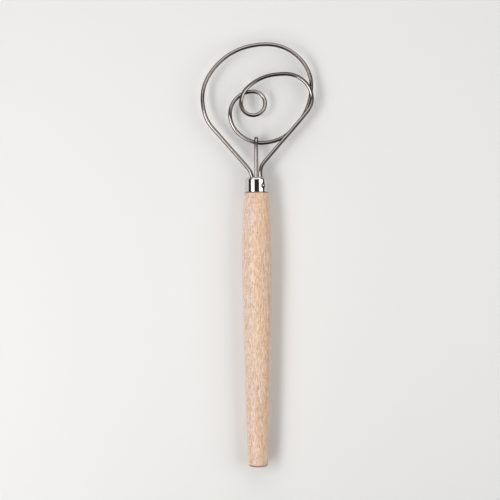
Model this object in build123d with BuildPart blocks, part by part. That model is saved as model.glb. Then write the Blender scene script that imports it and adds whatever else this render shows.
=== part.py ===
from build123d import *
import math
import os

# Dough whisk: a turned wooden handle, a pressed steel ferrule and a head of two bent wires.
# Lengths are in millimetres and angles in degrees. The handle's axis runs along Y, with the
# head toward +Y, and the whisk lies down, with its lowest point at Z = 0. The origin is
# below the middle of its length. Bearings are clockwise from +Y, as seen from above.

os.makedirs("parts", exist_ok=True)

# Handle, turned between centres: its outline gives the radius from the shoulder, where the
# ferrule ends, to the butt, as shares of the handle's length and of its belly's radius
handle_length = 221.6
belly_radius = 12.25
handle_outline_shares = (
    (0.0, 0.82),
    (0.065, 0.91),
    (0.145, 0.972),
    (0.25, 1.0),
    (0.42, 0.943),
    (0.61, 0.88),
    (0.80, 0.785),
    (1.0, 0.665),
)
shoulder_rounding = 0.6
butt_rounding = 3.0

# Ferrule, a cap drawn from sheet steel and staked to the wood with two punched dimples
ferrule_length = 12.0
ferrule_radius = 9.05
ferrule_wall = 0.6
ferrule_edge_radius = 2.2
slot_gap = 0.4
dimple_count = 2
dimple_bearing = 36.0
dimple_width = 4.0
dimple_depth = 0.9
dimple_height_share = 0.48

# Tenon inside the ferrule, and the drilled bore that the wires' tangs are glued into
tenon_fit = 0.1
bore_radius = 5.6
bore_depth = 31.0
drill_point_angle = 118.0
glue_fit = 0.05
glue_gap = 0.2

# Wires, all of one gauge: three tangs side by side in the bore
wire_diameter = 3.0
tang_gap = 0.25
tang_length = 26.0
strand_gap = 0.5
hook_gap = 0.35
hook_tail = 5.0

# Head, measured on the wire's centreline: its length from the ferrule's mouth, and its half
# width, that the stations of the loops are shares of
head_length = 108.0
head_half_width = 45.0
coil_radius = 9.8
leg_lean = 41.0
left_bend_radius = 16.0
left_bend_depth = 2.5
left_leg_length = 43.0
right_bend_radius = 14.0
right_bend_height = 3.5
right_leg_length = 47.0

# Stations of the loops, each a share of the half width, a share of the head's length and the
# wire's bearing there, in the order in which the wire is bent
outer_loop_stations_shares = (
    (-0.96, 0.595, 0.0),
    (-0.61, 0.88, 49.0),
    (0.19, 0.998, 90.0),
    (0.82, 0.88, 139.0),
    (1.0, 0.69, 180.0),
)
inner_loop_stations_shares = (
    (0.45, 0.294, 245.0),
    (0.09, 0.2595, 270.0),
)
hooked_station_share = (0.0, 0.263, 282.0)
inner_loop_side_share = (-0.468, 0.478, 360.0)
coil_centre_share = (-0.053, 0.556)
upper_arc_stations_shares = (
    (0.12, 0.745, 788.0),
    (0.53, 0.773, 810.0),
    (1.008, 0.585, 900.0),
)
under_leg_shares = (0.91, 0.76)

# Bearings at which the wire changes level: the outer loop sinks on its way round, and the
# coil climbs again
outer_loop_end_bearing = 180.0
coil_start_bearing = 450.0
coil_end_bearing = 720.0
full_turns_bearing = 900.0

overrun = 2.0
straight_angle = 0.001
gap_step_share = 0.2
apart_share = 3.0

# What follows from these sizes
wire_radius = wire_diameter / 2
tang_pitch = wire_diameter + tang_gap
strand_drop = wire_diameter + strand_gap
hook_radius = wire_diameter + hook_gap
loop_top_share = max(y_share for x_share, y_share, bearing in outer_loop_stations_shares)
overall_length = handle_length + ferrule_length + loop_top_share * head_length + wire_radius
butt_y = -overall_length / 2
shoulder_y = butt_y + handle_length
mouth_y = shoulder_y + ferrule_length
tenon_inset = ferrule_wall + tenon_fit
tenon_end_y = mouth_y - tenon_inset
dimple_y = shoulder_y + dimple_height_share * ferrule_length
dimple_sphere_radius = (dimple_width**2 / 4 + dimple_depth**2) / (2 * dimple_depth)
dimple_ring_radius = ferrule_radius - dimple_depth + dimple_sphere_radius
mouth_spread = left_bend_radius - math.sqrt(left_bend_radius**2 - left_bend_depth**2)

handle_axis = Axis((0, 0, belly_radius), (0, 1, 0))


def crosswise(y):
    """Return the plane across the handle's axis at y, facing the head, with X to its side."""
    return Plane(origin=(0, y, belly_radius), x_dir=(1, 0, 0), z_dir=(0, 1, 0))


def lengthwise(y):
    """Return the level plane through the handle's axis, with its origin on the axis at y."""
    return Plane(origin=(0, y, belly_radius))


def along(bearing):
    """Return the level direction of a bearing."""
    return Vector(math.sin(math.radians(bearing)), math.cos(math.radians(bearing)), 0)


def cap_form(inset, foot):
    """Return the ferrule's outer form, with inset taken off all round and a longer foot."""
    dimple_plane = Plane(origin=(0, dimple_y, belly_radius), x_dir=(0, 0, 1), z_dir=(0, 1, 0))
    with BuildPart() as form:
        with BuildSketch(crosswise(shoulder_y - foot)):
            Circle(ferrule_radius - inset)
        extrude(amount=foot + ferrule_length - inset)
        fillet(form.edges().group_by(Axis.Y)[-1], radius=ferrule_edge_radius - inset)
        with Locations(dimple_plane):
            with PolarLocations(dimple_ring_radius, dimple_count, start_angle=dimple_bearing):
                Sphere(dimple_sphere_radius + inset, mode=Mode.SUBTRACT)
    return form.part


def drilled_form(inset):
    """Return the form of the drilled bore, with inset taken off all round."""
    radius = bore_radius - inset
    point_length = radius / math.tan(math.radians(drill_point_angle / 2))
    with BuildPart() as form:
        with BuildSketch(lengthwise(tenon_end_y)):
            with BuildLine():
                Polyline(
                    (0, 0),
                    (radius, 0),
                    (radius, -bore_depth + inset),
                    (0, -bore_depth + inset - point_length),
                    close=True,
                )
            make_face()
        revolve(axis=handle_axis)
    return form.part


def leg_places(side, bend_height, bend_radius, length):
    """Return where a leg leaves its tang, where it ends its bend and where it ends."""
    tang_top = Vector(side * tang_pitch, mouth_y + bend_height, belly_radius)
    across = side * bend_radius * (1 - math.cos(math.radians(leg_lean)))
    bend_end = tang_top + Vector(across, bend_radius * math.sin(math.radians(leg_lean)), 0)
    return tang_top, bend_end, bend_end + along(side * leg_lean) * length


def head_place(x_share, y_share, level):
    """Return a place in the head, at a level above or below the handle's axis."""
    x = x_share * head_half_width
    return Vector(x, mouth_y + y_share * head_length, belly_radius + level)


def climb_at(before, place, after):
    """Return the gentler of the slopes into and out of a place, so that level runs stay level."""
    slope_in = (place.Z - before.Z) / (place - before).length
    slope_out = (after.Z - place.Z) / (after - place).length
    return min(slope_in, slope_out, key=abs)


def headings_of(stations):
    """Return the wire's direction at each station, from the bearings and the climb between them."""
    headings = [along(stations[0][1])]
    for (before, _), (place, bearing), (after, _) in zip(stations, stations[1:], stations[2:]):
        climb = Vector(0, 0, climb_at(before, place, after))
        headings.append((along(bearing) + climb).normalized())
    headings.append(along(stations[-1][1]))
    return headings


def draw_bend(start, start_heading, end, end_heading):
    """Draw a straight run, or the two arcs that lead smoothly from one station to the next."""
    chord = end - start
    if chord.get_angle(start_heading) < straight_angle:
        Line(start, end)
        return
    headings_sum = start_heading + end_heading
    turn = 2 * (1 - start_heading.dot(end_heading))
    lean = chord.dot(headings_sum)
    reach = (math.sqrt(lean**2 + turn * chord.dot(chord)) - lean) / turn
    joint = (start + end + (start_heading - end_heading) * reach) * 0.5
    joint_heading = (joint - start - start_heading * reach).normalized()
    TangentArc(start, joint, tangent=start_heading)
    TangentArc(joint, end, tangent=joint_heading)


def least_gap(path, diameter):
    """Return the least clear space between two stretches of one wire."""
    count = math.ceil(path.length / (gap_step_share * diameter))
    points = [path @ (step / count) for step in range(count + 1)]
    apart = math.ceil(apart_share / gap_step_share)
    spans = ((far - near).length for at, near in enumerate(points) for far in points[at + apart :])
    return min(spans) - diameter


# Handle: the barrel, its tenon and the bore in the tenon's end
tenon_form = cap_form(tenon_inset, overrun)
bore_form = drilled_form(0)
with BuildPart() as handle:
    with BuildSketch(lengthwise(shoulder_y)):
        with BuildLine():
            outline = Spline(
                *[
                    (radius_share * belly_radius, -length_share * handle_length)
                    for length_share, radius_share in handle_outline_shares
                ]
            )
            Polyline(outline @ 1, (0, -handle_length), (0, 0), outline @ 0)
        make_face()
    revolve(axis=handle_axis)
    fillet(handle.edges().group_by(Axis.Y)[0], radius=butt_rounding)
    fillet(handle.edges().group_by(Axis.Y)[-1], radius=shoulder_rounding)
    add(tenon_form)
    add(bore_form, mode=Mode.SUBTRACT)
handle.part.label = "handle"
export_step(handle.part, "parts/handle.step")

# Ferrule: the cap's outer form less its hollow, with a slot for the three wires in its end
ferrule_outside = cap_form(0, 0)
ferrule_hollow = cap_form(ferrule_wall, overrun)
with BuildPart() as ferrule:
    add(ferrule_outside)
    add(ferrule_hollow, mode=Mode.SUBTRACT)
    with BuildSketch(crosswise(mouth_y)):
        SlotCenterToCenter(2 * (tang_pitch + mouth_spread), wire_diameter + 2 * slot_gap)
    extrude(amount=-ferrule_wall - overrun, mode=Mode.SUBTRACT)
ferrule.part.label = "ferrule"
export_step(ferrule.part, "parts/ferrule.step")

# Glue: what fills the bore round the tangs, with one pocket for all three
with BuildPart() as glue_plug:
    add(drilled_form(glue_fit))
    with BuildSketch(crosswise(tenon_end_y)):
        SlotCenterToCenter(2 * tang_pitch, wire_diameter + 2 * glue_gap)
    extrude(amount=-(tang_length - tenon_inset + glue_gap), mode=Mode.SUBTRACT)
glue_plug.part.label = "glue_plug"
export_step(glue_plug.part, "parts/glue_plug.step")

# Loop wire: one wire from tang to tang. It turns clockwise, seen from above: up the left leg,
# round the outer loop and below the right leg, round the inner loop and the small coil, then
# over itself in the upper arc and down the right leg.
left_leg = leg_places(-1, -left_bend_depth, left_bend_radius, left_leg_length)
right_leg = leg_places(1, right_bend_height, right_bend_radius, right_leg_length)
left_tang_end = Vector(-tang_pitch, mouth_y - tang_length, belly_radius)
right_tang_end = Vector(tang_pitch, mouth_y - tang_length, belly_radius)
loop_stations = [
    (left_tang_end, 0),
    (left_leg[0], 0),
    (left_leg[1], -leg_lean),
    (left_leg[2], -leg_lean),
]
for x_share, y_share, bearing in outer_loop_stations_shares:
    level = -strand_drop * (bearing + leg_lean) / (outer_loop_end_bearing + leg_lean)
    loop_stations.append((head_place(x_share, y_share, level), bearing))
for leg_share in under_leg_shares:
    beside = right_leg[1] + along(leg_lean) * (leg_share * right_leg_length)
    loop_stations.append((beside - Vector(0, 0, strand_drop), outer_loop_end_bearing + leg_lean))
for x_share, y_share, bearing in inner_loop_stations_shares:
    loop_stations.append((head_place(x_share, y_share, -strand_drop), bearing))
x_share, y_share, bearing = hooked_station_share
hooked_place = head_place(x_share, y_share, -hook_radius)
loop_stations.append((hooked_place, bearing))
x_share, y_share, bearing = inner_loop_side_share
loop_stations.append((head_place(x_share, y_share, -strand_drop), bearing))
coil_centre = head_place(*coil_centre_share, -strand_drop)
for quarter in range(4):
    share = quarter / 3
    bearing = coil_start_bearing + share * (coil_end_bearing - coil_start_bearing)
    rim = coil_centre - along(bearing + 90) * coil_radius
    loop_stations.append((rim + Vector(0, 0, share * strand_drop), bearing))
for x_share, y_share, bearing in upper_arc_stations_shares:
    loop_stations.append((head_place(x_share, y_share, 0), bearing))
loop_stations += [
    (right_leg[2], full_turns_bearing + leg_lean),
    (right_leg[1], full_turns_bearing + leg_lean),
    (right_leg[0], full_turns_bearing),
    (right_tang_end, full_turns_bearing),
]
loop_headings = headings_of(loop_stations)

with BuildPart() as loop_wire:
    with BuildLine() as loop_route:
        for at in range(len(loop_stations) - 1):
            start, end = loop_stations[at][0], loop_stations[at + 1][0]
            draw_bend(start, loop_headings[at], end, loop_headings[at + 1])
    with BuildSketch(crosswise(mouth_y - tang_length)):
        with Locations((-tang_pitch, 0)):
            Circle(wire_radius)
    sweep()
loop_wire.part.label = "loop_wire"
export_step(loop_wire.part, "parts/loop_wire.step")

# Centre wire: a straight stem whose end hooks over the inner loop and back below it
hook_top = Vector(0, hooked_place.Y, belly_radius)
hook_bottom = hook_top - Vector(0, 0, 2 * hook_radius)
with BuildPart() as centre_wire:
    with BuildLine() as centre_route:
        Line(Vector(0, mouth_y - tang_length, belly_radius), hook_top)
        TangentArc(hook_top, hook_bottom, tangent=along(0))
        Line(hook_bottom, hook_bottom - along(0) * hook_tail)
    with BuildSketch(crosswise(mouth_y - tang_length)):
        Circle(wire_radius)
    sweep()
centre_wire.part.label = "centre_wire"
export_step(centre_wire.part, "parts/centre_wire.step")

loop_path = loop_route.wire()
bend_radii = [edge.radius for edge in loop_route.edges().filter_by(GeomType.CIRCLE)]
print(f"overall length {overall_length:.1f}")
print(f"loop wire: length {loop_path.length:.1f}, tightest bend {min(bend_radii):.1f}")
print(f"loop wire: least gap to itself {least_gap(loop_path, wire_diameter):.2f}")
print(f"centre wire: length {centre_route.wire().length:.1f}, bend {hook_radius:.2f}")
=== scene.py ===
import math

import bmesh
import bpy
from mathutils import Matrix, Vector
from mathutils.geometry import interpolate_bezier


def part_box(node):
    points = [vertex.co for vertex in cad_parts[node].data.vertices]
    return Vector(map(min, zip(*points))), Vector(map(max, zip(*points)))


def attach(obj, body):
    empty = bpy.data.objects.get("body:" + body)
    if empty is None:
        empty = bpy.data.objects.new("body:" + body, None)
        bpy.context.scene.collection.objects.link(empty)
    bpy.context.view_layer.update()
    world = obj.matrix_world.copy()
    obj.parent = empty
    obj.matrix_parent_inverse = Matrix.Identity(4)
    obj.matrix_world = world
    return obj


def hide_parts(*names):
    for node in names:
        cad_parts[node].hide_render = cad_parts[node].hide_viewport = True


# A dough whisk that lies on its handle: turned beech, a pressed steel ferrule and a head of
# two bent steel wires. Lengths are in metres and bearings in degrees. The handle's axis runs
# along Y, with the head toward +Y, and the floor is at Z = 0.

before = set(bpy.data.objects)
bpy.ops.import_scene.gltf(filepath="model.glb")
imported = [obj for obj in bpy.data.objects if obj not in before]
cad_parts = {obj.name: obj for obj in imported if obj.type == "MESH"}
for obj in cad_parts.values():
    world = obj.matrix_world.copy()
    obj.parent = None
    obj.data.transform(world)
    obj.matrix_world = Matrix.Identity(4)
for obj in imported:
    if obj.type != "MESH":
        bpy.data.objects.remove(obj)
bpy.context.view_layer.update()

# Handle. One stick of beech, turned between centres and sanded, without varnish. Its tenon
# goes inside the ferrule, and the bore in the tenon's end holds the three wires in glue.
butt_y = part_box("handle")[0].y
shoulder_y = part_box("ferrule")[0].y
mouth_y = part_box("ferrule")[1].y
axis_z = 0.01225
belly_radius = 0.012245
handle_length = shoulder_y - butt_y
# Shares of the length, from the shoulder, and of the belly's radius
outline_shares = (
    (0.0, 0.82),
    (0.065, 0.91),
    (0.145, 0.972),
    (0.25, 1.0),
    (0.42, 0.943),
    (0.61, 0.88),
    (0.80, 0.785),
    (1.0, 0.665),
)
outline_steps = 8
shoulder_rounding = 0.0009
butt_rounding = 0.003
tenon_radius = 0.00835
tenon_end_y = mouth_y - 0.0007
tenon_rounding = 0.0015
bore_radius = 0.0056
bore_depth = 0.031
half_drill_angle = math.radians(59)
bore_bottom_y = tenon_end_y - bore_depth
bore_tip_y = bore_bottom_y - bore_radius / math.tan(half_drill_angle)
turning_sides = 96
sharp_angle = math.radians(40)
same_place = 0.00002
same_point = same_place / 10

# The two punch marks that stake the ferrule to the tenon, at bearings round the axis from
# straight up, with a soft rim, and the cuts that give the walls enough rows to take them
dimple_y = shoulder_y + 0.0050
dimple_bearings = (36.0, 216.0)
dimple_rim = 0.0021
dimple_floor = 0.0005
dimple_depth = 0.0006
wall_cuts = 39
shortest_cut_edge = 10 * same_place


def smooth_outline(stations, steps):
    """Return the places of a curve through stations, level at its widest place."""
    slopes = [(b[1] - a[1]) / (b[0] - a[0]) for a, b in zip(stations, stations[1:])]
    leans = [slopes[0]]
    for before, after in zip(slopes, slopes[1:]):
        leans.append(0 if before * after < 0 else (before + after) / 2)
    leans.append(slopes[-1])
    places = [Vector(stations[0])]
    for (a, b), (lean_a, lean_b) in zip(zip(stations, stations[1:]), zip(leans, leans[1:])):
        third = (b[0] - a[0]) / 3
        handle_a = (a[0] + third, a[1] + third * lean_a)
        handle_b = (b[0] - third, b[1] - third * lean_b)
        places += interpolate_bezier(a, handle_a, handle_b, b, steps + 1)[1:]
    return places


def turn(profile, sides):
    """Return the bmesh of a profile, in radius and place on the axis, turned full circle."""
    bm = bmesh.new()
    verts = [bm.verts.new((radius, y, axis_z)) for radius, y in profile]
    edges = [bm.edges.new(pair) for pair in zip(verts, verts[1:])]
    bmesh.ops.spin(
        bm,
        geom=verts + edges,
        cent=(0, 0, axis_z),
        axis=(0, 1, 0),
        angle=math.tau,
        steps=sides,
        use_merge=True,
    )
    bmesh.ops.remove_doubles(bm, verts=bm.verts, dist=same_point)
    bmesh.ops.recalc_face_normals(bm, faces=bm.faces)
    return bm


def out_from_axis(place):
    """Return how far a place is from the handle's axis."""
    return math.hypot(place.x, place.z - axis_z)


def ring_at(bm, radius, y):
    """Return the edges of the ring of that radius at y."""
    return [
        edge
        for edge in bm.edges
        if all(
            abs(out_from_axis(vert.co) - radius) < same_place
            and abs(vert.co.y - y) < same_place
            for vert in edge.verts
        )
    ]


def round_off(bm, edges, width, segments):
    """Round edges off."""
    bmesh.ops.bevel(
        bm,
        geom=edges,
        offset=width,
        segments=segments,
        profile=0.5,
        affect="EDGES",
        material=-1,
        clamp_overlap=True,
    )


def cut_rows(bm, radius):
    """Cut the wall of that radius into rows across the axis."""
    long_edges = [
        edge
        for edge in bm.edges
        if all(abs(out_from_axis(vert.co) - radius) < same_place for vert in edge.verts)
        and abs(edge.verts[0].co.y - edge.verts[1].co.y) > shortest_cut_edge
    ]
    bmesh.ops.subdivide_edges(bm, edges=long_edges, cuts=wall_cuts, use_grid_fill=True)


def punch(bm, wall_radius):
    """Press the two punch marks into the wall of that radius and what lies beyond it."""
    for bearing in dimple_bearings:
        out = Vector((math.sin(math.radians(bearing)), 0, math.cos(math.radians(bearing))))
        for vert in bm.verts:
            from_middle = vert.co - Vector((0, dimple_y, axis_z))
            height = from_middle.dot(out)
            aside = (from_middle - height * out).length
            on_wall = out_from_axis(vert.co) > wall_radius - same_place
            if on_wall and height > 0 and aside < dimple_rim:
                up_slope = max(0, aside - dimple_floor) / (dimple_rim - dimple_floor)
                depth = dimple_depth * (0.5 + 0.5 * math.cos(math.pi * up_slope))
                vert.co -= depth * out


def make_object(bm, name):
    """Return an object of a bmesh, shaded smooth except at its sharp edges."""
    mesh = bpy.data.meshes.new(name)
    bm.to_mesh(mesh)
    bm.free()
    mesh.shade_smooth()
    mesh.set_sharp_from_angle(angle=sharp_angle)
    piece = bpy.data.objects.new(name, mesh)
    bpy.context.scene.collection.objects.link(piece)
    return piece


def linear(code):
    """Return the linear colour of an sRGB hex code."""
    channels = [int(code[at : at + 2], 16) / 255 for at in (1, 3, 5)]
    return (
        *(c / 12.92 if c <= 0.04045 else ((c + 0.055) / 1.055) ** 2.4 for c in channels),
        1.0,
    )


def feed(node, inputs):
    """Set a node's inputs to values, or link them to an output or a node's first output."""
    for name, value in inputs.items():
        if isinstance(value, bpy.types.Node):
            value = value.outputs[0]
        if isinstance(value, bpy.types.NodeSocket):
            node.id_data.links.new(value, node.inputs[name])
        else:
            node.inputs[name].default_value = value


def add_node(material, kind, inputs=None, stops=(), **settings):
    """Add a node with its settings, its inputs' values or links, and a ramp's stops."""
    node = material.node_tree.nodes.new(kind)
    for name, value in settings.items():
        setattr(node, name, value)
    feed(node, inputs or {})
    for at, (place, colour) in enumerate(stops):
        elements = node.color_ramp.elements
        stop = elements[at] if at < 2 else elements.new(place)
        stop.position = place
        stop.color = linear(colour) if isinstance(colour, str) else (colour,) * 3 + (1,)
    return node


def new_material(name):
    """Return a new material and its shader node."""
    material = bpy.data.materials.new(name)
    material.use_nodes = True
    return material, material.node_tree.nodes["Principled BSDF"]


outline = [
    (share * belly_radius, shoulder_y - length_share * handle_length)
    for length_share, share in smooth_outline(outline_shares, outline_steps)
]
handle_bm = turn(
    [
        (0, bore_tip_y),
        (bore_radius, bore_bottom_y),
        (bore_radius, tenon_end_y),
        (tenon_radius, tenon_end_y),
        (tenon_radius, shoulder_y),
        *outline,
        (0, butt_y),
    ],
    turning_sides,
)
round_off(handle_bm, ring_at(handle_bm, *outline[-1]), butt_rounding, segments=6)
round_off(handle_bm, ring_at(handle_bm, *outline[0]), shoulder_rounding, segments=3)
tenon_edge = ring_at(handle_bm, tenon_radius, tenon_end_y)
round_off(handle_bm, tenon_edge, tenon_rounding, segments=4)
cut_rows(handle_bm, tenon_radius)
punch(handle_bm, tenon_radius)
handle = make_object(handle_bm, "turned_handle")

# Sanded beech: pale tan with a soft sheen from the sanding. It is painted paler and pinker on
# the left, where the lamps fall, and yellower on the right, in the shade: painted sheen and
# painted shade. It has faint growth layers, fine streaks along the grain and many short rays.
# The large rays are drawn about twice as wide as real ones, and the small rays, fibres and
# pores many times coarser, so that they show.
layer_size = (0.0034, 0.14, 0.0034)
streak_size = (0.0011, 0.03, 0.0011)
patch_size = (0.009, 0.035, 0.009)
fibre_size = (0.00055, 0.0055, 0.00055)
pore_size = (0.0004, 0.004, 0.0004)
small_ray_size = (0.0009, 0.0026, 0.0008)
large_ray_size = (0.0014, 0.0044, 0.0013)
ray_core = 0.6
ray_relief = -0.5
# How fast the tint turns across the handle, from painted sheen at the left to painted shade at the
# right
painted_side_tint_slope = -16.0
pith = (-0.016, 0, -0.058)
pith_turn = math.atan2(axis_z - pith[2], -pith[0])
# Where the painted sheen on the left side is full, and where it ends
palest_x, no_longer_pale_x = -0.011, -0.002
# At this scale the wave's rings are one unit apart, so a layer is as thick as its size says
ring_scale = math.tau / 20
# A maths node and a colour mix have several sockets of one name, so these go by number
mix_share, mix_first, mix_second, mix_result = 0, 6, 7, 2

beech, beech_shader = new_material("sanded_beech")
wood_place = add_node(beech, "ShaderNodeTexCoord").outputs["Object"]
layer_place = add_node(
    beech,
    "ShaderNodeMapping",
    {"Vector": wood_place, "Location": pith, "Scale": layer_size},
    vector_type="TEXTURE",
)
layers = add_node(
    beech,
    "ShaderNodeTexWave",
    {
        "Vector": layer_place,
        "Scale": ring_scale,
        "Distortion": 2.5,
        "Detail": 2.0,
        "Detail Scale": 0.5,
    },
    wave_type="RINGS",
    rings_direction="Y",
    wave_profile="SAW",
)
streak_place = add_node(
    beech,
    "ShaderNodeMapping",
    {"Vector": wood_place, "Scale": streak_size},
    vector_type="TEXTURE",
)
streaks = add_node(
    beech, "ShaderNodeTexNoise", {"Vector": streak_place, "Scale": 1.0, "Detail": 3.0}
)
patch_place = add_node(
    beech,
    "ShaderNodeMapping",
    {"Vector": wood_place, "Scale": patch_size},
    vector_type="TEXTURE",
)
patches = add_node(beech, "ShaderNodeTexNoise", {"Vector": patch_place, "Scale": 1.0})
streak_tone = add_node(
    beech, "ShaderNodeValToRGB", {"Fac": streaks}, [(0.3, "#efdac8"), (0.7, "#f7e7da")]
)
layer_share = add_node(
    beech, "ShaderNodeMapRange", {"Value": layers, "From Min": 0.45, "To Max": 0.22}
)
layered = add_node(
    beech,
    "ShaderNodeMix",
    {mix_share: layer_share, mix_first: streak_tone, mix_second: linear("#d3ac8a")},
    data_type="RGBA",
)
spot = add_node(beech, "ShaderNodeSeparateXYZ", {"Vector": wood_place})
# The tint goes pinker to the left and yellower to the right, which is painted sheen and painted
# shade, on top of random patches
pinkness = add_node(
    beech,
    "ShaderNodeMath",
    {0: spot.outputs["X"], 1: painted_side_tint_slope, 2: patches},
    operation="MULTIPLY_ADD",
)
patch_tint = add_node(
    beech, "ShaderNodeValToRGB", {"Fac": pinkness}, [(0.30, "#fff1dc"), (0.65, "#fef5f5")]
)
tinted = add_node(
    beech,
    "ShaderNodeMix",
    {mix_share: 1.0, mix_first: layered.outputs[mix_result], mix_second: patch_tint},
    data_type="RGBA",
    blend_type="MULTIPLY",
)
# Painted sheen: the left side, which faces the lamps, is mixed toward a pale pink
painted_left_sheen_share = add_node(
    beech,
    "ShaderNodeMapRange",
    {
        "Value": spot.outputs["X"],
        "From Min": palest_x,
        "From Max": no_longer_pale_x,
        "To Min": 0.55,
        "To Max": 0.0,
    },
)
with_painted_left_sheen = add_node(
    beech,
    "ShaderNodeMix",
    {
        mix_share: painted_left_sheen_share,
        mix_first: tinted.outputs[mix_result],
        mix_second: linear("#f7e7df"),
    },
    data_type="RGBA",
)
fibre_place = add_node(
    beech,
    "ShaderNodeMapping",
    {"Vector": wood_place, "Scale": fibre_size},
    vector_type="TEXTURE",
)
fibres = add_node(
    beech, "ShaderNodeTexNoise", {"Vector": fibre_place, "Scale": 1.0, "Detail": 1.0}
)
fibre_tint = add_node(
    beech, "ShaderNodeValToRGB", {"Fac": fibres}, [(0.3, "#dfcab7"), (0.62, "#ffffff")]
)
fibrous = add_node(
    beech,
    "ShaderNodeMix",
    {mix_share: 1.0, mix_first: with_painted_left_sheen.outputs[mix_result], mix_second: fibre_tint},
    data_type="RGBA",
    blend_type="MULTIPLY",
)


def rays_of(size, reach, fewest, most):
    """Return where rays of that size lie: missing below a cell's fewest, dark beyond its most."""
    ray_place = add_node(
        beech,
        "ShaderNodeMapping",
        {"Vector": wood_place, "Rotation": (0, -pith_turn, 0), "Scale": size},
        vector_type="TEXTURE",
    )
    cells = add_node(beech, "ShaderNodeTexVoronoi", {"Vector": ray_place, "Scale": 1.0})
    inside = add_node(
        beech,
        "ShaderNodeMapRange",
        {
            "Value": cells.outputs["Distance"],
            "From Min": reach * ray_core,
            "From Max": reach,
            "To Min": 1.0,
            "To Max": 0.0,
        },
    )
    strength = add_node(
        beech,
        "ShaderNodeMapRange",
        {"Value": cells.outputs["Color"], "From Min": fewest, "From Max": most},
    )
    return add_node(beech, "ShaderNodeMath", {0: inside, 1: strength}, operation="MULTIPLY")


small_rays = rays_of(small_ray_size, reach=0.38, fewest=0.0, most=0.8)
large_rays = rays_of(large_ray_size, reach=0.27, fewest=0.80, most=0.97)
with_small_rays = add_node(
    beech,
    "ShaderNodeMix",
    {
        mix_share: small_rays,
        mix_first: fibrous.outputs[mix_result],
        mix_second: linear("#bf997c"),
    },
    data_type="RGBA",
)
with_rays = add_node(
    beech,
    "ShaderNodeMix",
    {
        mix_share: large_rays,
        mix_first: with_small_rays.outputs[mix_result],
        mix_second: linear("#96684a"),
    },
    data_type="RGBA",
)

# Both ends show end grain, which is darker, with the growth layers across it
wood_normal = add_node(beech, "ShaderNodeNewGeometry").outputs["Normal"]
facing = add_node(beech, "ShaderNodeSeparateXYZ", {"Vector": wood_normal})
end_facing = add_node(beech, "ShaderNodeMath", {0: facing.outputs["Y"]}, operation="ABSOLUTE")
end_share = add_node(
    beech, "ShaderNodeMapRange", {"Value": end_facing, "From Min": 0.3, "From Max": 0.6}
)
end_tint = add_node(
    beech, "ShaderNodeValToRGB", {"Fac": layers}, [(0.2, "#dfd0c2"), (0.95, "#a88f7c")]
)
with_ends = add_node(
    beech,
    "ShaderNodeMix",
    {mix_share: end_share, mix_first: with_rays.outputs[mix_result], mix_second: end_tint},
    data_type="RGBA",
    blend_type="MULTIPLY",
)

# Painted shade: the rounded rim of the butt is darkened in flecks, most of it at both sides,
# and the wood is darkened in patches in the crease where the ferrule begins
rim_sides_begin, rim_sides_full = 0.0025, 0.0060
seam_shade_reach, seam_shade_full = 0.0010, 0.0003
# Painted shade on the butt's rounded rim, broken up into flecks by the fibres
rim_band = add_node(
    beech,
    "ShaderNodeValToRGB",
    {"Fac": end_facing},
    [(0.28, 0.0), (0.48, 1.0), (0.72, 1.0), (0.90, 0.0)],
)
off_axis = add_node(beech, "ShaderNodeMath", {0: spot.outputs["X"]}, operation="ABSOLUTE")
rim_sides = add_node(
    beech,
    "ShaderNodeMapRange",
    {
        "Value": off_axis,
        "From Min": rim_sides_begin,
        "From Max": rim_sides_full,
        "To Min": 0.25,
    },
)
rim_flecks = add_node(
    beech,
    "ShaderNodeMapRange",
    {"Value": fibres, "From Min": 0.38, "From Max": 0.56, "To Min": 1.0, "To Max": 0.35},
)
flecked_band = add_node(beech, "ShaderNodeMath", {0: rim_band, 1: rim_flecks}, operation="MULTIPLY")
painted_rim_shade_share = add_node(beech, "ShaderNodeMath", {0: flecked_band, 1: rim_sides}, operation="MULTIPLY")
with_painted_rim_shade = add_node(
    beech,
    "ShaderNodeMix",
    {
        mix_share: painted_rim_shade_share,
        mix_first: with_ends.outputs[mix_result],
        mix_second: linear("#2c1c12"),
    },
    data_type="RGBA",
)
# Painted shade in the crease where the wood meets the ferrule, in patches
near_seam = add_node(
    beech,
    "ShaderNodeMapRange",
    {
        "Value": spot.outputs["Y"],
        "From Min": shoulder_y - seam_shade_reach,
        "From Max": shoulder_y - seam_shade_full,
        "To Max": 0.95,
    },
)
seam_patches = add_node(
    beech,
    "ShaderNodeMapRange",
    {"Value": patches, "From Min": 0.3, "From Max": 0.5, "To Min": 0.4},
)
painted_seam_shade_share = add_node(
    beech, "ShaderNodeMath", {0: near_seam, 1: seam_patches}, operation="MULTIPLY"
)
wood_colour = add_node(
    beech,
    "ShaderNodeMix",
    {
        mix_share: painted_seam_shade_share,
        mix_first: with_painted_rim_shade.outputs[mix_result],
        mix_second: linear("#3a2418"),
    },
    data_type="RGBA",
)

# The pores are fine grooves that scatter the light, and the large rays lie a little deeper
pore_place = add_node(
    beech,
    "ShaderNodeMapping",
    {"Vector": wood_place, "Scale": pore_size},
    vector_type="TEXTURE",
)
pores = add_node(beech, "ShaderNodeTexNoise", {"Vector": pore_place, "Scale": 1.0})
relief = add_node(
    beech, "ShaderNodeMath", {0: large_rays, 1: ray_relief, 2: pores}, operation="MULTIPLY_ADD"
)
wood_roughness = add_node(
    beech,
    "ShaderNodeMapRange",
    {"Value": pores, "From Min": 0.3, "From Max": 0.7, "To Min": 0.42, "To Max": 0.55},
)
wood_grooves = add_node(
    beech, "ShaderNodeBump", {"Height": relief, "Strength": 0.6, "Distance": 0.00006}
)
feed(
    beech_shader,
    {
        "Base Color": wood_colour.outputs[mix_result],
        "Roughness": wood_roughness,
        "Normal": wood_grooves,
        "Sheen Weight": 0.8,
        "Sheen Roughness": 0.4,
    },
)
handle.data.materials.append(beech)
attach(handle, "root")
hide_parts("handle")

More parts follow.
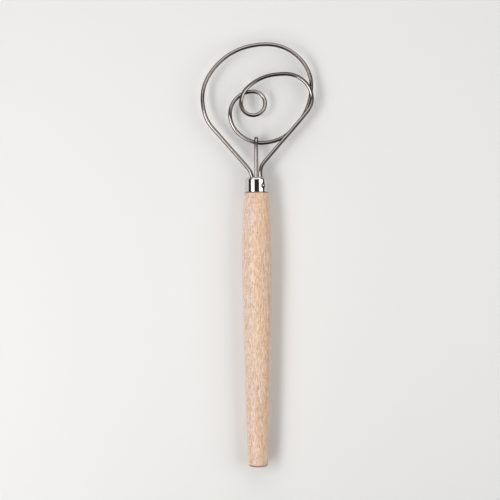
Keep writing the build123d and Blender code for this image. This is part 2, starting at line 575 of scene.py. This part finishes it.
# Ferrule. A cap drawn from 0.6 mm steel sheet and polished, with a slot in its end for the
# wires. It is pushed over the tenon and staked to it with two punch marks.
ferrule_radius = 0.00905
ferrule_wall = 0.0006
inner_radius = ferrule_radius - ferrule_wall
mouth_rounding = 0.0022
foot_rounding = 0.0004
end_ring_radius = 0.0062
slot_half_width = 0.0019
slot_half_length = 0.00345
ferrule_sides = 192

ferrule_bm = turn(
    [
        (end_ring_radius, mouth_y),
        (ferrule_radius, mouth_y),
        (ferrule_radius, shoulder_y),
        (inner_radius, shoulder_y),
        (inner_radius, mouth_y - ferrule_wall),
        (end_ring_radius, mouth_y - ferrule_wall),
    ],
    ferrule_sides,
)

# Both faces of the end's sheet go on from their ring to the slot's rim, and the two rims are
# joined through the sheet
slot_edges = []
for slot_y in (mouth_y, mouth_y - ferrule_wall):
    end_ring = ring_at(ferrule_bm, end_ring_radius, slot_y)
    new = bmesh.ops.extrude_edge_only(ferrule_bm, edges=end_ring)["geom"]
    rim_verts = [item for item in new if isinstance(item, bmesh.types.BMVert)]
    for vert in rim_verts:
        out = (vert.co - Vector((0, slot_y, axis_z))).normalized()
        side = 0 if abs(vert.co.x) < same_place else math.copysign(1, out.x)
        slot_end = Vector((side * slot_half_length, slot_y, axis_z))
        vert.co = slot_end + out * slot_half_width
    slot_edges += [
        item
        for item in new
        if isinstance(item, bmesh.types.BMEdge) and all(v in rim_verts for v in item.verts)
    ]
bmesh.ops.bridge_loops(ferrule_bm, edges=slot_edges)

mouth_edge = ring_at(ferrule_bm, ferrule_radius, mouth_y)
round_off(ferrule_bm, mouth_edge, mouth_rounding, segments=10)
foot_edge = ring_at(ferrule_bm, ferrule_radius, shoulder_y)
round_off(ferrule_bm, foot_edge, foot_rounding, segments=5)
inner_corner = ring_at(ferrule_bm, inner_radius, mouth_y - ferrule_wall)
round_off(ferrule_bm, inner_corner, mouth_rounding - ferrule_wall, segments=8)
for radius in (ferrule_radius, inner_radius):
    cut_rows(ferrule_bm, radius)
punch(ferrule_bm, inner_radius)
bmesh.ops.recalc_face_normals(ferrule_bm, faces=ferrule_bm.faces)
ferrule = make_object(ferrule_bm, "pressed_ferrule")
softened = ferrule.modifiers.new("softened_edges", "BEVEL")
softened.width = 0.00018
softened.segments = 3
softened.limit_method = "ANGLE"
softened.angle_limit = math.radians(50)

# Polished stainless steel: a near mirror with fine scratches from polishing round the cap,
# drawn coarser than real ones so that they show
scratch_size = (0.004, 0.00015, 0.004)
polished, polished_shader = new_material("polished_stainless_steel")
cap_place = add_node(polished, "ShaderNodeTexCoord").outputs["Object"]
scratch_place = add_node(
    polished,
    "ShaderNodeMapping",
    {"Vector": cap_place, "Scale": scratch_size},
    vector_type="TEXTURE",
)
scratches = add_node(polished, "ShaderNodeTexNoise", {"Vector": scratch_place, "Scale": 1.0})

# A dark ring is painted on the slope of each punch mark: a painted reflection of the dark room
# in the mark's wall. The two marks lie straight opposite each other, and the pattern runs
# through the cap from one to the other.
mark_reach = 0.003
mark_place = add_node(
    polished,
    "ShaderNodeMapping",
    {
        "Vector": cap_place,
        "Location": (0, dimple_y, axis_z),
        "Rotation": (0, math.radians(dimple_bearings[0]), 0),
    },
    vector_type="TEXTURE",
)
flat_place = add_node(
    polished, "ShaderNodeVectorMath", {0: mark_place, 1: (1, 1, 0)}, operation="MULTIPLY"
)
from_mark = add_node(polished, "ShaderNodeVectorMath", {0: flat_place}, operation="LENGTH")
mark_share = add_node(
    polished, "ShaderNodeMapRange", {"Value": from_mark.outputs["Value"], "From Max": mark_reach}
)
painted_reflection_ring = add_node(
    polished,
    "ShaderNodeValToRGB",
    {"Fac": mark_share},
    [(0.25, 0.0), (0.40, 1.0), (0.58, 1.0), (0.70, 0.0)],
)
# The painted reflection ring darkens the steel's colour
steel_colour = add_node(
    polished,
    "ShaderNodeMix",
    {mix_share: painted_reflection_ring, mix_first: linear("#d8d2d0"), mix_second: linear("#4a423f")},
    data_type="RGBA",
)
steel_roughness = add_node(
    polished,
    "ShaderNodeMapRange",
    {"Value": scratches, "From Min": 0.3, "From Max": 0.75, "To Min": 0.03, "To Max": 0.12},
)
steel_grooves = add_node(
    polished, "ShaderNodeBump", {"Height": scratches, "Strength": 0.12, "Distance": 0.000004}
)
feed(
    polished_shader,
    {
        "Base Color": steel_colour.outputs[mix_result],
        "Metallic": 1.0,
        "Roughness": steel_roughness,
        "Normal": steel_grooves,
    },
)
ferrule.data.materials.append(polished)
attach(ferrule, "root")
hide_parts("ferrule")

# Loop wire. One length of 3 mm steel wire, bent round formers: up the left leg, round the
# outer loop and below the right leg, round the inner loop and the small coil, over itself
# and the outer loop, and down the right leg into the handle again.
wire_radius = 0.0015
wire_sides = 28
longest_step = 0.0018
straight_step = 3 * longest_step
widest_step = math.radians(7)
least_turn = 1e-5
tang_pitch = 0.00325
tang_end_y = mouth_y - 0.026
strand_drop = 0.0035
hook_radius = 0.00335
head_length = 0.108
head_half_width = 0.045
coil_radius = 0.0098
coil_start, coil_sweep, coil_quarters = 450, 270, 3
below_right_leg = (0.91, 0.76)
leg_lean = 41.0
left_bend, left_bend_end, left_leg = 0.016, -0.0025, 0.043
right_bend, right_bend_end, right_leg = 0.014, 0.0035, 0.047


def along(bearing):
    """Return the level direction of a bearing, clockwise from +Y as seen from above."""
    return Vector((math.sin(math.radians(bearing)), math.cos(math.radians(bearing)), 0))


def leg_places(side, bend, start, length):
    """Return where a leg leaves its tang, where it ends its bend and where it ends."""
    tang_top = Vector((side * tang_pitch, mouth_y + start, axis_z))
    lean = math.radians(leg_lean)
    bend_end = tang_top + Vector((side * bend * (1 - math.cos(lean)), bend * math.sin(lean), 0))
    return tang_top, bend_end, bend_end + along(side * leg_lean) * length


def in_head(x_share, y_share, level):
    """Return a place in the head, at a level above or below the handle's axis."""
    x = x_share * head_half_width
    return Vector((x, mouth_y + y_share * head_length, axis_z + level))


# The wire's stations: places on its middle line, with its bearing there, which goes on growing
# from loop to loop
left = leg_places(-1, left_bend, left_bend_end, left_leg)
right = leg_places(1, right_bend, right_bend_end, right_leg)
stations = [
    (Vector((-tang_pitch, tang_end_y, axis_z)), 0),
    (left[0], 0),
    (left[1], -leg_lean),
    (left[2], -leg_lean),
]
outer_loop = (
    (-0.96, 0.595, 0.0),
    (-0.61, 0.88, 49.0),
    (0.19, 0.998, 90.0),
    (0.82, 0.88, 139.0),
    (1.0, 0.69, 180.0),
)
for x_share, y_share, bearing in outer_loop:
    sunk = (bearing + leg_lean) / (180 + leg_lean)
    stations.append((in_head(x_share, y_share, -strand_drop * sunk), bearing))
for share in below_right_leg:
    beside = right[1] + along(leg_lean) * (share * right_leg)
    stations.append((beside - Vector((0, 0, strand_drop)), 180 + leg_lean))
hooked_place = in_head(0.0, 0.263, -hook_radius)
stations += [
    (in_head(0.45, 0.294, -strand_drop), 245),
    (in_head(0.09, 0.2595, -strand_drop), 270),
    (hooked_place, 282),
    (in_head(-0.468, 0.478, -strand_drop), 360),
]
coil_centre = in_head(-0.053, 0.556, -strand_drop)
for quarter in range(coil_quarters + 1):
    share = quarter / coil_quarters
    bearing = coil_start + share * coil_sweep
    on_coil = coil_centre - along(bearing + 90) * coil_radius
    stations.append((on_coil + Vector((0, 0, share * strand_drop)), bearing))
stations += [
    (in_head(0.12, 0.745, 0), 788),
    (in_head(0.53, 0.773, 0), 810),
    (in_head(1.008, 0.585, 0), 900),
    (right[2], 900 + leg_lean),
    (right[1], 900 + leg_lean),
    (right[0], 900),
    (Vector((tang_pitch, tang_end_y, axis_z)), 900),
]


def climb_at(before, here, after):
    """Return the gentler of the slopes into and out of a place."""
    slope_in = (here.z - before.z) / (here - before).length
    slope_out = (after.z - here.z) / (after - here).length
    return min(slope_in, slope_out, key=abs)


def headings_of(stations):
    """Return the wire's direction at each station, from the bearings and the climb."""
    headings = [along(stations[0][1])]
    for (before, _), (here, bearing), (after, _) in zip(stations, stations[1:], stations[2:]):
        climb = Vector((0, 0, climb_at(before, here, after)))
        headings.append((along(bearing) + climb).normalized())
    return headings + [along(stations[-1][1])]


class Wire:
    """A wire that grows from its tang end, one bend after the other."""

    def __init__(self, start):
        self.bm = bmesh.new()
        self.drawn = self.bm.verts.layers.float_vector.new("drawn")
        self.length = 0.0
        upright = Matrix.Rotation(math.pi / 2, 4, "X")
        verts = bmesh.ops.create_circle(
            self.bm,
            segments=wire_sides,
            radius=wire_radius,
            matrix=Matrix.Translation(start) @ upright,
        )["verts"]
        for vert in verts:
            vert[self.drawn] = (vert.co.x - start.x, 0, vert.co.z - start.z)
        self.ring = list(dict.fromkeys(edge for vert in verts for edge in vert.link_edges))
        bmesh.ops.edgeloop_fill(self.bm, edges=self.ring)

    def advance(self, geometry, distance):
        """Take the new end ring, and note how far along the wire it is."""
        self.ring = [item for item in geometry if isinstance(item, bmesh.types.BMEdge)]
        self.length += distance
        for vert in {vert for edge in self.ring for vert in edge.verts}:
            across = vert[self.drawn]
            vert[self.drawn] = (across.x, self.length, across.z)

    def go_straight(self, run):
        """Carry the wire on along a straight run."""
        steps = math.ceil(run.length / straight_step)
        for _ in range(steps):
            new = bmesh.ops.extrude_edge_only(self.bm, edges=self.ring)["geom"]
            verts = [item for item in new if isinstance(item, bmesh.types.BMVert)]
            bmesh.ops.translate(self.bm, verts=verts, vec=run / steps)
            ends = [
                item
                for item in new
                if isinstance(item, bmesh.types.BMEdge) and all(v in verts for v in item.verts)
            ]
            self.advance(ends, run.length / steps)

    def go_round(self, start, heading, end):
        """Carry the wire on along the arc from start, where it runs along heading, to end."""
        chord = end - start
        half_turn = heading.angle(chord)
        axis = heading.cross(chord).normalized()
        radius = chord.length / (2 * math.sin(half_turn))
        arc = 2 * half_turn * radius
        steps = math.ceil(max(arc / longest_step, 2 * half_turn / widest_step))
        for _ in range(steps):
            new = bmesh.ops.spin(
                self.bm,
                geom=self.ring,
                cent=start + axis.cross(heading) * radius,
                axis=axis,
                angle=2 * half_turn / steps,
                steps=1,
            )["geom_last"]
            self.advance(new, arc / steps)

    def go_on(self, start, heading, end, end_heading):
        """Carry the wire on to the next station, straight or by two arcs."""
        chord = end - start
        if chord.angle(heading) < least_turn:
            self.go_straight(chord)
            return
        headings = heading + end_heading
        turning = 2 * (1 - heading.dot(end_heading))
        lean = chord.dot(headings)
        reach = (math.sqrt(lean**2 + turning * chord.dot(chord)) - lean) / turning
        middle = (start + end + (heading - end_heading) * reach) / 2
        self.go_round(start, heading, middle)
        self.go_round(middle, (middle - start - heading * reach).normalized(), end)

    def close(self):
        """Close the wire's far end."""
        bmesh.ops.edgeloop_fill(self.bm, edges=self.ring)
        bmesh.ops.recalc_face_normals(self.bm, faces=self.bm.faces)


loop_wire = Wire(stations[0][0])
headings = headings_of(stations)
for at in range(len(stations) - 1):
    loop_wire.go_on(stations[at][0], headings[at], stations[at + 1][0], headings[at + 1])
loop_wire.close()
loops = make_object(loop_wire.bm, "bent_loop_wire")

# Drawn stainless wire, with fine lines from the die along it. It is painted bright, and made
# glossier, above, below and at both sides of its section, and painted dark between them, so each
# wire shows a light core between two dark lines: a painted highlight and painted dark
# reflections of the room. The die's lines are drawn coarser than real ones so that they show.
die_line_size = (0.0002, 0.03, 0.0002)
bright_wire, wire_shader = new_material("bright_drawn_stainless_wire")
wire_place = add_node(bright_wire, "ShaderNodeAttribute", attribute_name="drawn").outputs["Vector"]
line_place = add_node(
    bright_wire,
    "ShaderNodeMapping",
    {"Vector": wire_place, "Scale": die_line_size},
    vector_type="TEXTURE",
)
die_lines = add_node(bright_wire, "ShaderNodeTexNoise", {"Vector": line_place, "Scale": 1.0})
section = add_node(bright_wire, "ShaderNodeSeparateXYZ", {"Vector": wire_place})
rise = add_node(bright_wire, "ShaderNodeMath", {0: section.outputs["Z"]}, operation="ABSOLUTE")
spread = add_node(bright_wire, "ShaderNodeMath", {0: section.outputs["X"]}, operation="ABSOLUTE")
# Painted highlight: the top, bottom and sides of the wire's section are painted bright
painted_highlight_top_bottom = add_node(
    bright_wire,
    "ShaderNodeMapRange",
    {"Value": rise, "From Min": 0.84 * wire_radius, "From Max": 0.96 * wire_radius},
)
painted_highlight_sides = add_node(
    bright_wire,
    "ShaderNodeMapRange",
    {
        "Value": spread,
        "From Min": 0.90 * wire_radius,
        "From Max": 0.98 * wire_radius,
        "To Max": 0.9,
    },
)
painted_highlight_share = add_node(
    bright_wire, "ShaderNodeMath", {0: painted_highlight_top_bottom, 1: painted_highlight_sides}, operation="MAXIMUM"
)
# Painted dark lines between the bright parts stand in for the room's dark reflections
painted_dark_line_tone = add_node(
    bright_wire, "ShaderNodeValToRGB", {"Fac": die_lines}, [(0.3, "#3e3836"), (0.7, "#544c4a")]
)
painted_highlight_tone = add_node(
    bright_wire, "ShaderNodeValToRGB", {"Fac": die_lines}, [(0.3, "#afa59f"), (0.7, "#ccc4c0")]
)
wire_colour = add_node(
    bright_wire,
    "ShaderNodeMix",
    {mix_share: painted_highlight_share, mix_first: painted_dark_line_tone, mix_second: painted_highlight_tone},
    data_type="RGBA",
)
highlight_band_roughness = add_node(
    bright_wire,
    "ShaderNodeMapRange",
    {"Value": die_lines, "From Min": 0.3, "From Max": 0.7, "To Min": 0.06, "To Max": 0.16},
)
wire_roughness = add_node(
    bright_wire,
    "ShaderNodeMapRange",
    {"Value": painted_highlight_share, "To Min": 0.28, "To Max": highlight_band_roughness},
)
wire_grooves = add_node(
    bright_wire, "ShaderNodeBump", {"Height": die_lines, "Strength": 0.3, "Distance": 0.000008}
)
feed(
    wire_shader,
    {
        "Base Color": wire_colour.outputs[mix_result],
        "Metallic": 1.0,
        "Roughness": wire_roughness,
        "Normal": wire_grooves,
        "Specular Tint": linear("#6b6360"),
    },
)
loops.data.materials.append(bright_wire)
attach(loops, "root")
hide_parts("loop_wire")

# Centre wire. A straight stem of the same wire, glued in between the loop wire's tangs. Its
# far end is hooked over the inner loop, which it holds down.
hook_tail = 0.005
stem_start = Vector((0, tang_end_y, axis_z))
hook_top = Vector((0, hooked_place.y, axis_z))
hook_bottom = hook_top - Vector((0, 0, 2 * hook_radius))
centre_wire = Wire(stem_start)
centre_wire.go_straight(hook_top - stem_start)
centre_wire.go_round(hook_top, along(0), hook_bottom)
centre_wire.go_straight(-along(0) * hook_tail)
centre_wire.close()
stem = make_object(centre_wire.bm, "hooked_centre_wire")
stem.data.materials.append(bright_wire)
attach(stem, "root")
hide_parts("centre_wire")

# Glue. Two-part epoxy, poured into the bore round the three tangs and set hard, glossy and
# amber with paler clouds. Only its top shows, through the ferrule's slot.
cloud_size = (0.002, 0.002, 0.002)
epoxy, epoxy_shader = new_material("set_amber_epoxy")
glue_place = add_node(epoxy, "ShaderNodeTexCoord").outputs["Object"]
cloud_place = add_node(
    epoxy,
    "ShaderNodeMapping",
    {"Vector": glue_place, "Scale": cloud_size},
    vector_type="TEXTURE",
)
clouds = add_node(epoxy, "ShaderNodeTexNoise", {"Vector": cloud_place, "Scale": 1.0})
glue_colour = add_node(
    epoxy, "ShaderNodeValToRGB", {"Fac": clouds}, [(0.3, "#a98650"), (0.7, "#cdb27c")]
)
feed(epoxy_shader, {"Base Color": glue_colour, "Roughness": 0.18})
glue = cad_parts["glue_plug"]
glue.data.materials.clear()
glue.data.materials.append(epoxy)

# Floor: a plain pale board, wide enough to fill the views from the side, and matt, so that it
# takes shadows and mirrors nothing. Beyond the photo's frame it keeps its colour for the
# camera and for reflections, where the lamps don't reach.
floor_radius = 14.0
glow_begins, glow_full = 0.3, 0.62
floor_colour = linear("#edecea")
floor_bm = bmesh.new()
bmesh.ops.create_circle(floor_bm, cap_ends=True, segments=64, radius=floor_radius)
floor = make_object(floor_bm, "floor")
pale_board, board_shader = new_material("pale_matt_board")
feed(board_shader, {"Base Color": floor_colour, "Roughness": 0.7, "Specular IOR Level": 0.2})
board_place = add_node(pale_board, "ShaderNodeTexCoord").outputs["Object"]
away = add_node(pale_board, "ShaderNodeVectorMath", {0: board_place}, operation="LENGTH")
far_share = add_node(
    pale_board,
    "ShaderNodeMapRange",
    {"Value": away.outputs["Value"], "From Min": glow_begins, "From Max": glow_full},
    interpolation_type="SMOOTHSTEP",
)
board_ray = add_node(pale_board, "ShaderNodeLightPath")
seen = board_ray.outputs["Is Camera Ray"]
for name in ("Is Glossy Ray", "Is Transmission Ray"):
    seen = add_node(
        pale_board, "ShaderNodeMath", {0: seen, 1: board_ray.outputs[name]}, operation="MAXIMUM"
    )
glow_share = add_node(pale_board, "ShaderNodeMath", {0: seen, 1: far_share}, operation="MULTIPLY")
glow = add_node(pale_board, "ShaderNodeEmission", {"Color": floor_colour})
board = add_node(pale_board, "ShaderNodeMixShader", {0: glow_share, 1: board_shader, 2: glow})
feed(pale_board.node_tree.nodes["Material Output"], {"Surface": board})
floor.data.materials.append(pale_board)

# Lights: a small lamp at the left for the sharp shadows, and wide soft panels at the left, at
# the right and beyond the head, in a dim room that polished steel mirrors as nearly black.
# The camera sees the floor's pale tone there instead, and so does steel at the horizon.
lit_place = Vector((0, 0, axis_z))
lamp_distance = 0.8
horizon_fade = 0.04


def add_lamp(name, toward, slide, width, length, radiance):
    """Add a rectangular lamp of that radiance, which slides along from facing the whisk."""
    lamp = bpy.data.lights.new(name, "AREA")
    lamp.shape = "RECTANGLE"
    lamp.size = width
    lamp.size_y = length
    lamp.energy = radiance * math.pi * width * length
    box = bpy.data.objects.new(name, lamp)
    out = Vector(toward).normalized()
    box.location = lit_place + out * lamp_distance + Vector((0, slide, 0))
    box.rotation_mode = "QUATERNION"
    box.rotation_quaternion = out.to_track_quat("Z", "Y")
    bpy.context.scene.collection.objects.link(box)


add_lamp("key_lamp", (-0.82, 0, 1), slide=0.0, width=0.308, length=0.154, radiance=4.2)
add_lamp("upper_left_panel", (-0.637, 0, 1), slide=-0.35, width=1.0, length=0.202, radiance=5.0)
add_lamp("lower_left_panel", (-1.11, 0, 1), slide=-0.28, width=0.9, length=0.253, radiance=1.8)
add_lamp("right_panel", (1.063, 0, 1), slide=-0.12, width=0.6, length=0.574, radiance=2.35)
add_lamp("head_panel", (0, 1.15, 1), slide=0.0, width=1.3, length=0.95, radiance=1.14)

world = bpy.data.worlds.new("dim_room")
bpy.context.scene.world = world
world.use_nodes = True
room = world.node_tree.nodes["Background"]
ray_direction = add_node(world, "ShaderNodeTexCoord").outputs["Generated"]
ray_parts = add_node(world, "ShaderNodeSeparateXYZ", {"Vector": ray_direction})
low_share = add_node(
    world,
    "ShaderNodeMapRange",
    {"Value": ray_parts.outputs["Z"], "From Max": horizon_fade, "To Min": 1.0, "To Max": 0.0},
)
room_ray = add_node(world, "ShaderNodeLightPath")
mirrored = add_node(
    world,
    "ShaderNodeMath",
    {0: room_ray.outputs["Is Glossy Ray"], 1: room_ray.outputs["Is Transmission Ray"]},
    operation="MAXIMUM",
)
mirrored_low = add_node(world, "ShaderNodeMath", {0: mirrored, 1: low_share}, operation="MULTIPLY")
pale_share = add_node(
    world,
    "ShaderNodeMath",
    {0: mirrored_low, 1: room_ray.outputs["Is Camera Ray"]},
    operation="MAXIMUM",
)
room_colour = add_node(
    world,
    "ShaderNodeMix",
    {mix_share: pale_share, mix_first: linear("#383735"), mix_second: floor_colour},
    data_type="RGBA",
)
feed(room, {"Color": room_colour.outputs[mix_result]})

# Camera: straight above, turned a little, with the handle's axis level in the picture's plane
camera_height = 1.0
picture_width = 0.404
picture_middle = Vector((-0.0056, 0.0035, axis_z))
camera_turn = -0.0067
camera_data = bpy.data.cameras.new("camera")
camera_data.lens = camera_data.sensor_width * camera_height / picture_width
camera = bpy.data.objects.new("camera", camera_data)
camera.location = picture_middle + Vector((0, 0, camera_height))
camera.rotation_euler = (0, 0, camera_turn)
bpy.context.scene.collection.objects.link(camera)
bpy.context.scene.camera = camera
bpy.context.scene.view_settings.view_transform = "Standard"
